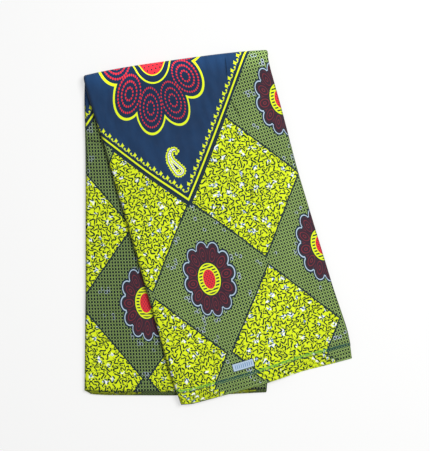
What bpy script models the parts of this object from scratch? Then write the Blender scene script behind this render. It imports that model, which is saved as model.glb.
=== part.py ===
"""A length of ankara wax print, folded as a seller folds it and laid flat on a table.

The whole cloth is folded to and fro along its length into a flat band of sixteen leaves, and the band is
folded over once at the top, so that its front half fans out over its back half. Both selvedges lie at the
bottom. Units are metres, +Z is up, +Y points to the fold, and the origin is on the table under the middle
of the pack.

A place in the pack is known by three numbers. Across is its distance from the band's left side. Down is its
distance below the left end of the fold's axis, along the half that it lies on. Radius is its distance from
the fold's axis, which tells one leaf from the next.
"""

import math
from collections import namedtuple

import bmesh
import bpy
import numpy as np

# Driving dimensions
BAND_WIDTH = 0.331
BACK_LENGTH = 0.557
FRONT_LENGTH = 0.587
FAN_ANGLE = math.radians(15.9)
PACK_THICKNESS = 0.009
LEAF_THICKNESS = 0.0012
GAP = 0.0003
FOLD_BOW = 0.0054
FOLD_BOW_REACH = 0.12
CORNER_REACH = 0.0116
DRAPE_START = 0.010
DRAPE_RUN = 0.055
GROOVE_DEPTH = 0.0016
GROOVE_SHARE = 0.12
EDGE_ROUNDING = 0.0004
TURN_STEPS = 8

# The left end of the fold's axis, as it lies from the middle of the pack
AXIS_LEFT_END = (-0.2392, 0.2632)

# The axis is tilted by half of the angle that the front half fans out by
TILT = FAN_ANGLE / 2
SIN_TILT = math.sin(TILT)
COS_TILT = math.cos(TILT)
AXIS_HEIGHT = PACK_THICKNESS

# Where the rows and columns of every leaf's grid lie, as shares of the length and of the width. The rims
# come on top of these, and follow each leaf's own edges.
COLUMNS = (0.035, 0.09, 0.16, 0.24, 0.32, 0.4, 0.47, 0.54, 0.61, 0.68, 0.75, 0.82, 0.88, 0.93, 0.968)
BACK_ROWS = (0.975, 0.9, 0.72, 0.5, 0.28, 0.1, 0.03)
FRONT_ROWS = (
    0.03, 0.09, 0.15, 0.21, 0.27, 0.33, 0.39, 0.45, 0.51, 0.57, 0.63, 0.69, 0.75, 0.81, 0.87, 0.93, 0.975
)

# How far across each side lies at places down its half
Side = namedtuple("Side", "down across")
FRONT_LEFT_SIDE = (
    Side(0.000, 0.0000), Side(0.023, -0.0012), Side(0.059, 0.0001), Side(0.106, 0.0022),
    Side(0.200, 0.0019), Side(0.284, 0.0046), Side(0.424, 0.0067), Side(0.474, 0.0044),
    Side(0.526, 0.0027), Side(0.580, 0.0041), Side(0.606, 0.0067),
)
FRONT_RIGHT_SIDE = (
    Side(0.036, 0.3290), Side(0.067, 0.3260), Side(0.147, 0.3258), Side(0.258, 0.3238),
    Side(0.341, 0.3252), Side(0.484, 0.3278), Side(0.558, 0.3316), Side(0.587, 0.3297),
    Side(0.610, 0.3255),
)
BACK_LEFT_SIDE = (
    Side(0.000, 0.0000), Side(0.034, -0.0007), Side(0.140, 0.0015), Side(0.376, 0.0015),
    Side(0.556, -0.0004),
)
BACK_RIGHT_SIDE = (
    Side(0.000, 0.3290), Side(0.200, 0.3282), Side(0.540, 0.3288), Side(0.556, 0.3266),
)

# How far beyond its leaf's length each selvedge reaches, at places across
Selvedge = namedtuple("Selvedge", "across past")
FRONT_SELVEDGE = (
    Selvedge(0.006, -0.0040), Selvedge(0.020, 0.0000), Selvedge(0.077, 0.0010), Selvedge(0.158, 0.0014),
    Selvedge(0.208, -0.0006), Selvedge(0.236, -0.0012), Selvedge(0.290, 0.0002), Selvedge(0.330, 0.0004),
)
BACK_SELVEDGE = (
    Selvedge(0.000, -0.0015), Selvedge(0.036, 0.0012), Selvedge(0.164, 0.0018), Selvedge(0.256, -0.0004),
    Selvedge(0.323, -0.0040),
)

# Where each leaf or bundle of leaves ends, from the outermost inwards. front_past and back_past are how far
# its selvedges reach beyond the lengths above, save that all meet at the back's left corner. left_in and
# right_in are how far its sides lie inside the pack's.
Edge = namedtuple("Edge", "front_past back_past left_in right_in")
OUTER_EDGE = Edge(0.0000, 0.0045, 0.0000, 0.0000)
BUNDLE_EDGES = (
    Edge(0.0055, 0.0054, 0.0006, 0.0012),
    Edge(0.0115, 0.0062, 0.0014, 0.0004),
    Edge(0.0170, 0.0056, 0.0004, 0.0016),
    Edge(0.0236, 0.0040, 0.0012, 0.0008),
    Edge(0.0222, 0.0024, 0.0006, 0.0014),
)
INNER_EDGE = Edge(0.0230, 0.0000, 0.0008, 0.0006)

# One closed loop round a leaf: its radius, the edges it follows and how far it is drawn in from them
Loop = namedtuple("Loop", "radius edge side_in end_in")

PRINT_COLOURS = {
    "outer_leaf": (0.42, 0.52, 0.06, 1),
    "hidden_leaves": (0.05, 0.09, 0.16, 1),
    "inner_leaf": (0.16, 0.23, 0.09, 1),
}
COTTON_ROUGHNESS = 0.78


def clear_scene():
    """Removes what Blender's start-up file brings."""
    for found in list(bpy.data.objects):
        bpy.data.objects.remove(found)


def read_off(table, place):
    """The second column of a table at a place in its first column."""
    return float(np.interp(place, [row[0] for row in table], [row[1] for row in table]))


def fold_bow(across, distance):
    """How far the fold line arches up, most in its middle, and less the further down from the fold."""
    off_middle = abs(2 * across / BAND_WIDTH - 1)
    near = max(0.0, 1 - distance / FOLD_BOW_REACH)
    return FOLD_BOW * (1 - min(off_middle, 1) ** 3) * near * near


def drape(x):
    """How far the front half has sunk at a place right of the back half, down to the table in the end."""
    share = min(max((x - BAND_WIDTH - DRAPE_START) / DRAPE_RUN, 0.0), 1.0)
    return (AXIS_HEIGHT + GAP) * share * share * (3 - 2 * share)


def from_axis(beside, reach, height, front):
    """The point beside the left end of the fold's axis, reach beyond the axis and height over the table."""
    x = beside * COS_TILT - reach * SIN_TILT
    y = beside * SIN_TILT + reach * COS_TILT
    sunk = drape(x) if front else 0
    return (AXIS_LEFT_END[0] + x, AXIS_LEFT_END[1] + y, height - sunk)


def on_half(across, down, radius, front):
    """A point of the back half, or of the front half, which is the same half mirrored at the fold's axis."""
    mirror = -1 if front else 1
    beside = across * COS_TILT - down * SIN_TILT * mirror
    reach = -across * SIN_TILT * mirror - down * COS_TILT
    bowed = reach + fold_bow(across, max(-reach, 0.0))
    return from_axis(beside, bowed, AXIS_HEIGHT - radius * mirror, front)


def in_turn(across, turned, radius):
    """A point of the fold, where turned runs from 0 at the back half to 1 at the front half."""
    angle = math.pi * turned
    reach = radius * math.sin(angle) + fold_bow(across, 0)
    return from_axis(across / COS_TILT, reach, AXIS_HEIGHT - radius * math.cos(angle), False)


def axis_down(across, front):
    """How far down the fold's axis lies at a place across."""
    return across * SIN_TILT / COS_TILT * (1 if front else -1)


def half_row(loop, share, front):
    """One row of points across a half. A share of None is the row at the selvedge."""
    left_side = FRONT_LEFT_SIDE if front else BACK_LEFT_SIDE
    right_side = FRONT_RIGHT_SIDE if front else BACK_RIGHT_SIDE
    selvedge = FRONT_SELVEDGE if front else BACK_SELVEDGE
    length = FRONT_LENGTH if front else BACK_LENGTH
    past = loop.edge.front_past if front else loop.edge.back_past

    def down_at(across):
        if share is None:
            from_corner = 1 if front else min(max(across, 0) / CORNER_REACH, 1)
            return length + past * from_corner + read_off(selvedge, across) - loop.end_in
        axis = axis_down(across, front)
        return axis + (length + read_off(selvedge, across) - axis) * share

    left = read_off(left_side, down_at(0)) + loop.edge.left_in + loop.side_in
    right = read_off(right_side, down_at(BAND_WIDTH)) - loop.edge.right_in - loop.side_in
    places = [left] + [column * BAND_WIDTH for column in COLUMNS] + [right]
    return [on_half(across, down_at(across), loop.radius, front) for across in places]


def turn_row(loop, turned):
    """One row of points along the fold."""
    left = BACK_LEFT_SIDE[0].across * (1 - turned) + FRONT_LEFT_SIDE[0].across * turned
    right = BACK_RIGHT_SIDE[0].across * (1 - turned) + FRONT_RIGHT_SIDE[0].across * turned
    places = [left + loop.edge.left_in + loop.side_in]
    places += [column * BAND_WIDTH for column in COLUMNS]
    places += [right - loop.edge.right_in - loop.side_in]
    return [in_turn(across, turned, loop.radius) for across in places]


def loop_grid(loop, front_rows):
    """The rows of points of a loop, from the back's selvedge over the fold to the front's."""
    rows = [half_row(loop, share, False) for share in (None,) + BACK_ROWS]
    rows += [turn_row(loop, step / TURN_STEPS) for step in range(TURN_STEPS + 1)]
    rows += [half_row(loop, share, True) for share in front_rows + (None,)]
    return rows


def rim_of(grid):
    """The outermost points or vertices of a grid, in order round it."""
    rim = [row[0] for row in grid]
    rim += grid[-1][1:]
    rim += [row[-1] for row in reversed(grid[:-1])]
    rim += grid[0][-2:0:-1]
    return rim


def leaf_solid(name, loops, front_rows):
    """One closed solid: a grid of faces at its first and last loop, joined round the rim by way of the rest."""
    mesh = bmesh.new()
    rims = []
    for loop in loops:
        grid = loop_grid(loop, front_rows)
        if loop in (loops[0], loops[-1]):
            grid = [[mesh.verts.new(point) for point in row] for row in grid]
            for lower, upper in zip(grid, grid[1:]):
                for left in range(len(lower) - 1):
                    mesh.faces.new((lower[left], lower[left + 1], upper[left + 1], upper[left]))
            rims.append(rim_of(grid))
        else:
            rims.append([mesh.verts.new(point) for point in rim_of(grid)])
    for above, below in zip(rims, rims[1:]):
        for start in range(len(above)):
            end = (start + 1) % len(above)
            mesh.faces.new((above[start], above[end], below[end], below[start]))
    bmesh.ops.recalc_face_normals(mesh, faces=mesh.faces)
    data = bpy.data.meshes.new(name)
    mesh.to_mesh(data)
    mesh.free()
    data.shade_smooth()
    data.set_sharp_from_angle(angle=math.radians(40))
    data.materials.append(printed_cotton(name))
    leaf = bpy.data.objects.new(name, data)
    bpy.context.scene.collection.objects.link(leaf)
    return leaf


def printed_cotton(name):
    """Plain-woven cotton in the colour that most of this leaf's print shows."""
    material = bpy.data.materials.new(name + "_cotton")
    material.use_nodes = True
    shader = material.node_tree.nodes["Principled BSDF"]
    shader.inputs["Base Color"].default_value = PRINT_COLOURS[name]
    shader.inputs["Roughness"].default_value = COTTON_ROUGHNESS
    shader.inputs["Metallic"].default_value = 0.0
    return material


def wall_loops(inner, outer, edge):
    """The loops of one wall of cloth, with its rim rounded."""
    return [
        Loop(outer, edge, EDGE_ROUNDING, EDGE_ROUNDING),
        Loop((inner + outer) / 2, edge, 0, 0),
        Loop(inner, edge, EDGE_ROUNDING, EDGE_ROUNDING),
    ]


def groove_edge(above, below):
    """Whichever of two bundles ends sooner, on each side."""
    return Edge(
        min(above.front_past, below.front_past), min(above.back_past, below.back_past),
        max(above.left_in, below.left_in), max(above.right_in, below.right_in),
    )


def bundle_loops(outermost, innermost):
    """The loops of the hidden leaves: a rounded nose for each bundle and a groove between one and the next."""
    pitch = (outermost - innermost) / len(BUNDLE_EDGES)
    lip = pitch * GROOVE_SHARE
    loops = []
    for index, edge in enumerate(BUNDLE_EDGES):
        top = outermost - pitch * index
        if index:
            loops.append(Loop(top, groove_edge(BUNDLE_EDGES[index - 1], edge), GROOVE_DEPTH, GROOVE_DEPTH))
            top -= lip
        bottom = outermost - pitch * (index + 1)
        if index < len(BUNDLE_EDGES) - 1:
            bottom += lip
        loops.append(Loop(top, edge, EDGE_ROUNDING, 0))
        loops.append(Loop((top + bottom) / 2, edge, 0, 0))
        loops.append(Loop(bottom, edge, EDGE_ROUNDING, 0))
    return loops


clear_scene()

# The leaf that shows on the front, rolls over the fold and lies on the table under the back half
outer_inside = PACK_THICKNESS - LEAF_THICKNESS
leaf_solid("outer_leaf", wall_loops(outer_inside, PACK_THICKNESS, OUTER_EDGE), FRONT_ROWS)

# The leaf that shows on the back half, left of the front one, and turns back sharply inside the fold. It and
# the hidden leaves reach further down than the outer leaf, so they have one more row, at its selvedge.
inner_outside = GAP + LEAF_THICKNESS
leaf_solid("inner_leaf", wall_loops(GAP, inner_outside, INNER_EDGE), FRONT_ROWS + (1,))

# The leaves in between, as one solid layered at its edges
leaf_solid("hidden_leaves", bundle_loops(outer_inside - GAP, inner_outside + GAP), FRONT_ROWS + (1,))
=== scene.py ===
# %% [markdown]
# # A folded length of ankara, in wax print
#
# Ankara is plain-woven cotton, printed on both faces with wax resist. A whole cloth is about five and a half
# metres long. Here it lies as a seller folds it: to and fro along its length into a flat band of sixteen
# leaves, and then over once across the middle, so that the front half fans out over the back half.
#
# This lesson puts the finished cloth round the solids of the part. A cloth simulation could fold it, but it
# would lay the leaves by chance and not on the solids. So the three pieces, one for each solid, are surfaces
# worked out with numpy, and their one print is shader maths on the cloth's own coordinates.

# %% Open the frame
import math
from collections import namedtuple

import bmesh
import bpy
import numpy as np
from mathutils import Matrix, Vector


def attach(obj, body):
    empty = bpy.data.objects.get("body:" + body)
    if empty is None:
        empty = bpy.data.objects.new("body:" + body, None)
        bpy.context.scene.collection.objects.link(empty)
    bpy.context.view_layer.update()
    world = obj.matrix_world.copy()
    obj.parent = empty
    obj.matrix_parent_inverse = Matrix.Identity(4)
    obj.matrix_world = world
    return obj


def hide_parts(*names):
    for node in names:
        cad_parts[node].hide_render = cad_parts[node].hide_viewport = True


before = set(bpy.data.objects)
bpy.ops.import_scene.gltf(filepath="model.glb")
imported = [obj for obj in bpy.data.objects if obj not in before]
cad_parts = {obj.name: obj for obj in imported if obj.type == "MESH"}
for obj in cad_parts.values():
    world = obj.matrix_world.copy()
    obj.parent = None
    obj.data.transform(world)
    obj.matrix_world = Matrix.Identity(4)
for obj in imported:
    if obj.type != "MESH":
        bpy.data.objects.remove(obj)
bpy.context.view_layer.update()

# %% [markdown]
# ## The sizes of the pack
#
# The pack has one straight fold at the top. Its axis is tilted by half of the angle between the two halves,
# because a flat band that is folded over a slanting line leaves it at twice that slant. The sizes are the
# solids' own, so that each surface lies where its solid lies.

# %% Name the pack's sizes
BAND_WIDTH = 0.331
BACK_LENGTH = 0.557
FRONT_LENGTH = 0.587
FAN_ANGLE = math.radians(15.9)
PACK_THICKNESS = 0.009
LEAVES = 16
LEAF_PITCH = PACK_THICKNESS / LEAVES
CLOTH_THICKNESS = 0.00036
FOLD_BOW = 0.0054
FOLD_BOW_REACH = 0.12
CORNER_REACH = 0.0116
DRAPE_START = 0.010
DRAPE_RUN = 0.055
UNDER_GAP = 0.0003
AXIS_LEFT_END = (-0.2392, 0.2632)
TILT = FAN_ANGLE / 2
SIN_TILT = math.sin(TILT)
COS_TILT = math.cos(TILT)
print("one leaf takes", round(LEAF_PITCH * 1000, 3), "mm of the pack's", PACK_THICKNESS * 1000, "mm")

# %% Name how far each side and each selvedge lies
Side = namedtuple("Side", "down across")
FRONT_LEFT_SIDE = (
    Side(0.000, 0.0000), Side(0.023, -0.0012), Side(0.059, 0.0001), Side(0.106, 0.0022),
    Side(0.200, 0.0026), Side(0.284, 0.0040), Side(0.424, 0.0044), Side(0.474, 0.0046),
    Side(0.526, 0.0036), Side(0.580, 0.0058), Side(0.606, 0.0076),
)
FRONT_RIGHT_SIDE = (
    Side(0.036, 0.3290), Side(0.067, 0.3260), Side(0.147, 0.3258), Side(0.258, 0.3238),
    Side(0.341, 0.3252), Side(0.484, 0.3278), Side(0.558, 0.3316), Side(0.587, 0.3297),
    Side(0.610, 0.3255),
)
BACK_LEFT_SIDE = (
    Side(0.000, 0.0000), Side(0.034, -0.0007), Side(0.140, 0.0015), Side(0.376, 0.0015),
    Side(0.556, -0.0004),
)
BACK_RIGHT_SIDE = (
    Side(0.000, 0.3290), Side(0.200, 0.3282), Side(0.540, 0.3288), Side(0.556, 0.3266),
)
Selvedge = namedtuple("Selvedge", "across past")
FRONT_SELVEDGE = (
    Selvedge(0.006, -0.0064), Selvedge(0.018, 0.0000), Selvedge(0.077, 0.0010), Selvedge(0.158, 0.0014),
    Selvedge(0.208, -0.0006), Selvedge(0.236, -0.0012), Selvedge(0.290, 0.0002), Selvedge(0.330, 0.0004),
)
BACK_SELVEDGE = (
    Selvedge(0.000, -0.0015), Selvedge(0.036, 0.0012), Selvedge(0.164, 0.0018), Selvedge(0.256, -0.0004),
    Selvedge(0.323, -0.0040),
)

# %% [markdown]
# ## The camera
#
# The cloth was photographed from straight above. The picture is 430 by 451 pixels, and the cloth's size makes
# each of them 1.8 mm of the table. An orthographic camera could show it, but a real one sees what is nearer
# a little larger, so a long lens hangs almost two metres up.

# %% Hang the camera over the table
PIXEL = 0.0018
PICTURE = (430, 451)
PART_MIDDLE = (217.8, 227.5)
LENS = 85
SENSOR = 36


def set_down(name, data):
    """A new object in the scene."""
    made = bpy.data.objects.new(name, data)
    bpy.context.scene.collection.objects.link(made)
    return made


camera_height = PICTURE[1] * PIXEL * LENS / SENSOR
camera = set_down("camera", bpy.data.cameras.new("camera"))
camera.data.lens = LENS
camera.data.sensor_width = SENSOR
picture_right, picture_up = PICTURE[0] / 2 - PART_MIDDLE[0], PART_MIDDLE[1] - PICTURE[1] / 2
camera.location = (picture_right * PIXEL, picture_up * PIXEL, camera_height)
bpy.context.scene.camera = camera
print("the camera hangs", round(camera_height, 3), "m over the table")

# %% [markdown]
# ## A place in the pack
#
# Three numbers name every point of the cloth: how far across the band it lies, how far down its half, and
# its radius from the fold's axis, which tells one leaf from the next. On the back half a bigger radius is
# lower, on the front half it is higher, and in the fold the leaves lie round the axis like the skins of an
# onion, so nothing is stretched. A modifier could bend flat leaves too, but a few functions that turn these
# three numbers into space keep each leaf where its solid is.

# %% Read a table softly
SOFTENING = 0.012
READINGS = 7


def read_off(table, place):
    """The table's second column at a place in its first: straight lines from row to row, and then the mean
    of a few readings beside each other, which rounds their corners."""
    first = np.array([row[0] for row in table])
    second = np.array([row[1] for row in table])
    steps = np.linspace(-SOFTENING, SOFTENING, READINGS)
    return sum(np.interp(place + step, first, second) for step in steps) / READINGS


def even_s(share):
    """An even S from 0 to 1: three squares less two cubes."""
    share = np.clip(share, 0, 1)
    return share**2 * (3 - 2 * share)


def turn_axes(x, y, cosine, sine):
    """A place as it is read along axes that are turned by the angle of this cosine and sine."""
    return x * cosine + y * sine, y * cosine - x * sine


# %% Turn across, down and radius into space
def fold_bow(across, distance):
    """How far the fold line arches up: the bow times one less the cube of the distance from the middle, times
    the square of the nearness to the fold."""
    off_middle = np.minimum(np.abs(2 * across / BAND_WIDTH - 1), 1)
    near = np.clip(1 - distance / FOLD_BOW_REACH, 0, 1)
    return FOLD_BOW * (1 - off_middle**3) * near**2


def from_axis(beside, reach, height):
    """The point beside the axis's left end, reach beyond the axis and height over the table: a turn by the
    tilt, x = beside cos - reach sin and y = beside sin + reach cos."""
    x = beside * COS_TILT - reach * SIN_TILT
    y = beside * SIN_TILT + reach * COS_TILT
    return np.stack([x, y, height + 0 * x], axis=-1)


def on_half(across, down, radius, front):
    """A point of a half: the band's own plane, mirrored at the fold's axis for the front half."""
    mirror = -1 if front else 1
    beside = across * COS_TILT - down * SIN_TILT * mirror
    reach = -across * SIN_TILT * mirror - down * COS_TILT
    bowed = reach + fold_bow(across, np.maximum(-reach, 0))
    return from_axis(beside, bowed, PACK_THICKNESS - radius * mirror)


def in_turn(across, turned, radius):
    """A point of the fold: half a circle round the axis, from the back half at 0 to the front half at 1."""
    angle = math.pi * turned
    reach = radius * np.sin(angle) + fold_bow(across, 0)
    return from_axis(across / COS_TILT, reach, PACK_THICKNESS - radius * np.cos(angle))


def axis_down(across, front):
    """How far down its half the fold's axis lies: the place across times the tangent of the tilt."""
    return across * SIN_TILT / COS_TILT * (1 if front else -1)


# %% [markdown]
# ## Soft relief
#
# Cotton that was folded and lies under its own weight isn't flat. It rises and falls by half a millimetre
# over a hand's width, and it keeps a few short, soft creases. Where the front half passes beyond the back
# half's side, it sinks to the table. Each leaf could be rumpled by itself, but it might cut through the next.
# So all of this is one soft warp of the space that the pack lies in, and the leaves rise and sink together.

# %% Lay out the creases where the photograph shows them, and like ones elsewhere
Crease = namedtuple("Crease", "across down length turn width height")
FRONT_CREASES = (
    Crease(0.249, 0.051, 0.030, 101, 0.0040, -0.0008), Crease(0.215, 0.094, 0.044, 93, 0.0060, 0.0009),
    Crease(0.245, 0.124, 0.036, 76, 0.0040, -0.0008), Crease(0.232, 0.278, 0.030, 98, 0.0042, -0.0007),
    Crease(0.062, 0.150, 0.090, 76, 0.0080, 0.0006), Crease(0.062, 0.490, 0.150, 94, 0.0160, -0.0012),
    Crease(0.205, 0.405, 0.110, 82, 0.0100, 0.0006), Crease(0.292, 0.470, 0.090, 99, 0.0080, 0.0006),
    Crease(0.047, 0.465, 0.120, 86, 0.0090, 0.0006), Crease(0.160, 0.562, 0.070, 8, 0.0070, 0.0004),
    Crease(0.296, 0.190, 0.080, 84, 0.0080, -0.0005),
)
BACK_CREASES = (
    Crease(0.019, 0.110, 0.036, 12, 0.0034, -0.0012), Crease(0.052, 0.250, 0.070, 82, 0.0080, 0.0006),
    Crease(0.036, 0.430, 0.100, 96, 0.0090, 0.0006), Crease(0.112, 0.480, 0.070, 77, 0.0080, -0.0005),
    Crease(0.070, 0.540, 0.060, 5, 0.0060, 0.0004),
)
SWELL = 0.0005


def along_crease(crease, right, beneath):
    """Along a crease and aside from it, for a place this far right of its middle and beneath it."""
    turn = math.radians(crease.turn)
    return turn_axes(right, beneath, math.cos(turn), math.sin(turn))


def relief(across, down, creases):
    """How far the cloth stands out at each place: two broad waves times each other, and for each crease its
    height times a bell across it times a flatter bell along it."""
    total = SWELL * np.sin(across * 31 + 1.3 * np.sin(down * 9)) * np.sin(down * 23 + across * 11 + 0.7)
    for crease in creases:
        along, aside = along_crease(crease, across - crease.across, down - crease.down)
        bells = np.exp(-((aside / crease.width) ** 2) - (2 * along / crease.length) ** 4)
        total = total + crease.height * bells
    return total


def settle(points):
    """The soft warp of the pack. The back half's relief lifts a point by its share of the way up to the axis,
    the front half's by its share of the way on to the top. Right of the back half all sinks by an even S."""
    x, y, z = points[..., 0], points[..., 1], points[..., 2]
    front_across, front_up = turn_axes(x, y, math.cos(FAN_ANGLE), math.sin(FAN_ANGLE))
    in_back = np.clip(z / PACK_THICKNESS, 0, 1)
    in_front = np.clip(z / PACK_THICKNESS - 1, 0, 1)
    sunk = even_s((x - BAND_WIDTH - DRAPE_START) / DRAPE_RUN)
    height = z - (PACK_THICKNESS + UNDER_GAP) * sunk
    height = height + relief(x, -y, BACK_CREASES) * in_back * (1 - sunk)
    height = height + relief(front_across, -front_up, FRONT_CREASES) * in_front
    return np.stack([AXIS_LEFT_END[0] + x, AXIS_LEFT_END[1] + y, np.maximum(height, 0)], axis=-1)


print(len(FRONT_CREASES), "creases on the front half and", len(BACK_CREASES), "on the back half")

# %% [markdown]
# ## Carry a ring of points through the pack
#
# A leaf is one long ribbon. Each half could be a sheet of its own, but the print has to run unbroken round
# the fold. So a flat ring of points, the outline of the ribbon's cross-section, is carried from the back
# half's selvedge, over the fold, to the front half's. Each point of the ring knows its share of the way
# across, how far its sides lie inside the pack's, how far its ends reach past the outer leaf's, and its
# radius. Each place also gets its own spot on the flat cloth, in metres, for the print to read: a fold
# doesn't stretch the cloth, so these are simply lengths along it. The leaves don't lie quite in line: slip
# is how far across a leaf has moved, and slide how far down.

# %% Say how the slack of the cloth draws the print aside at the front's left
SLACK_ACROSS = 0.0079
SLACK_DOWN = -0.0046
SLACK_MIDDLE = 0.112
SLACK_SLANT = 0.22
SLACK_BEND = 0.230
SLACK_RUN = 0.120
SLACK_START = 0.100


def slack(across, down):
    """The share of the slack at a place of the front half: all of it at the left, and none at the right of an
    even S, whose middle moves right on the way down. It grows from the fold by another even S."""
    middle = SLACK_MIDDLE + SLACK_SLANT * np.maximum(down - SLACK_BEND, 0)
    return even_s(0.5 + (middle - across) / SLACK_RUN) * even_s(down / SLACK_START)


# %% Carry a ring
Ring = namedtuple("Ring", "share left_in right_in front_past back_past radius slip slide front_end back_end")
FRONT = (FRONT_LEFT_SIDE, FRONT_RIGHT_SIDE, FRONT_SELVEDGE, FRONT_LENGTH)
BACK = (BACK_LEFT_SIDE, BACK_RIGHT_SIDE, BACK_SELVEDGE, BACK_LENGTH)


def side_gap(ring, across, left, right):
    """How far a place lies from the nearer side of the pack: the smaller of its ways to both, each with what
    the ring itself lies in. It sets the reach of the painted shade at the sides. The right side faces the
    light, so it counts as twice as far, and its painted shade is narrower."""
    return np.minimum(across - left + ring.left_in, 2 * (right - across + ring.right_in))


def half_rows(ring, shares, front):
    """Rows of ring points down one half, at shares of the way from the fold's axis to each point's end. The
    cloth's own place is (across, down) on the front half, and runs on behind the turn. With it go the
    distances to the leaf's own selvedge and, for the painted shade, to the nearer side, or on the back half
    the nearest edge."""
    left_side, right_side, selvedge, half_length = FRONT if front else BACK
    past, own_end = (ring.front_past, ring.front_end) if front else (ring.back_past, ring.back_end)

    def end_at(across):
        from_corner = 1 if front else np.clip(across / CORNER_REACH, 0, 1)
        return half_length + past * from_corner + read_off(selvedge, across)

    def down_at(across):
        axis = axis_down(across, front)
        return axis + (end_at(across) - axis) * shares[:, None]

    left = read_off(left_side, down_at(0.0 * ring.share)) + ring.left_in
    right = read_off(right_side, down_at(BAND_WIDTH + 0.0 * ring.share)) - ring.right_in
    across = left + (right - left) * ring.share
    down = down_at(across)
    points = on_half(across, down, ring.radius, front)
    from_selvedge = end_at(across) - down + own_end - past
    painted_shade_distance = side_gap(ring, across, left, right)
    if front:
        drawn = slack(across, down)
        cloth_down = down - ring.slide + SLACK_DOWN * drawn
        cloth = [across + ring.slip + SLACK_ACROSS * drawn, cloth_down, from_selvedge, painted_shade_distance]
        return points, np.stack(cloth, axis=-1)
    turn = math.pi * ring.radius
    # On the back half the painted shade also runs along the selvedge, where the leaves' ends lie in shade.
    painted_shade_distance = np.minimum(painted_shade_distance, from_selvedge)
    cloth_across, cloth_down = across + turn * SIN_TILT + ring.slip, -down - ring.slide - turn * COS_TILT
    return points, np.stack([cloth_across, cloth_down, from_selvedge, painted_shade_distance], axis=-1)


def turn_rows(ring, turned):
    """Rows of ring points round the fold. The cloth's own place runs on from the front half, at right angles
    to the fold, by the length of the arc."""
    left = BACK_LEFT_SIDE[0].across + ring.left_in
    right = BACK_RIGHT_SIDE[0].across - ring.right_in
    across = (left + (right - left) * ring.share) + 0 * turned[:, None]
    arc = math.pi * ring.radius * (1 - turned[:, None])
    cloth_across = across + arc * SIN_TILT + ring.slip
    cloth_down = axis_down(across, True) - arc * COS_TILT - ring.slide
    cloth = [cloth_across, cloth_down, BACK_LENGTH + 0 * across, side_gap(ring, across, left, right)]
    return in_turn(across, turned[:, None], ring.radius), np.stack(cloth, axis=-1)


def even_shares(length, pitch):
    """Shares of the way down a half, one every pitch, without the first, which is the turn's own."""
    return np.linspace(0, 1, round(length / pitch) + 1)[1:]


def carry(ring, back_pitch, turn_steps, front_pitch):
    """The whole ribbon: the back half upwards, the turn, and the front half downwards."""
    back, back_cloth = half_rows(ring, even_shares(BACK_LENGTH, back_pitch)[::-1], False)
    turn, turn_cloth = turn_rows(ring, np.linspace(0, 1, turn_steps + 1))
    front, front_cloth = half_rows(ring, even_shares(FRONT_LENGTH, front_pitch), True)
    return np.concatenate([back, turn, front]), np.concatenate([back_cloth, turn_cloth, front_cloth])


# %% Make a closed mesh from grids that share their edges
MERGE = 0.000002
SHARP = math.radians(50)


def grid_faces(rows, columns, first, closed):
    """The four corners of each face of a grid, counted from first. A closed grid also joins its last column
    to its first."""
    row, column = np.meshgrid(np.arange(rows - 1), np.arange(columns - 1 + closed), indexing="ij")
    beside = (column + 1) % columns
    corners = [row * columns + column, row * columns + beside, (row + 1) * columns + beside]
    corners.append((row + 1) * columns + column)
    return first + np.stack(corners, axis=-1).reshape(-1, 4)


def mesh_piece(name, grids):
    """A piece from grids of (points, cloth places, closed). Edges that two grids share are merged, and then
    the faces are turned outwards."""
    points = np.concatenate([settle(grid[0]).reshape(-1, 3) for grid in grids])
    cloth = np.concatenate([grid[1].reshape(-1, 4) for grid in grids])
    faces, first = [], 0
    for grid_points, _, closed in grids:
        faces.append(grid_faces(grid_points.shape[0], grid_points.shape[1], first, closed))
        first += grid_points.shape[0] * grid_points.shape[1]
    mesh = bpy.data.meshes.new(name)
    mesh.from_pydata(points, [], np.concatenate(faces).tolist())
    corner = np.empty(len(mesh.loops), dtype=np.int32)
    mesh.loops.foreach_get("vertex_index", corner)
    mesh.uv_layers.new(name="cloth").data.foreach_set("uv", cloth[corner, :2].astype(np.float32).ravel())
    # The fourth column is the distance that sets the painted shade.
    for column, attribute in ((2, "from_selvedge"), (3, "painted_shade_distance")):
        distance = mesh.attributes.new(attribute, "FLOAT", "POINT")
        distance.data.foreach_set("value", cloth[:, column].astype(np.float32))
    shaping = bmesh.new()
    shaping.from_mesh(mesh)
    bmesh.ops.remove_doubles(shaping, verts=shaping.verts, dist=MERGE)
    bmesh.ops.recalc_face_normals(shaping, faces=shaping.faces)
    open_edges = sum(not edge.is_manifold for edge in shaping.edges)
    volume = shaping.calc_volume(signed=True)
    shaping.to_mesh(mesh)
    shaping.free()
    mesh.shade_smooth()
    mesh.set_sharp_from_angle(angle=SHARP)
    piece = set_down(name, mesh)
    triangles = sum(len(face.vertices) - 2 for face in mesh.polygons)
    print(name, triangles, "triangles,", open_edges, "open edges,", round(volume * 1e6), "cubic cm")
    return piece


# %% [markdown]
# ## The two leaves that show
#
# The outer leaf is on top of the front half, rolls over the fold and lies on the table. The inner leaf shows
# beside the front half and turns back sharply inside the fold. Each is a single thickness of cotton that
# rounds over at the band's sides, towards the leaves beneath it, and each thin end is the cloth's selvedge.
# Solidify could thicken a bare sheet, but in so sharp a turn its inner side might cross itself. So the ring
# holds both faces of the leaf, each with its own radius.

# %% Draw the ring of a single leaf
ROLL = 0.0032
ROLL_STEPS = 7


def rolled(share, turn, outside, thickness, direction):
    """Points of one face of a leaf at a side: a quarter circle of the roll's radius, smaller inside the leaf
    by its thickness. At turn 0 the point is on the flat, and at 90 degrees it is on the side."""
    reach = ROLL - thickness
    inset = ROLL - reach * np.sin(turn)
    radius = outside - direction * (ROLL - reach * np.cos(turn))
    return share + 0 * turn, inset, radius


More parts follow.
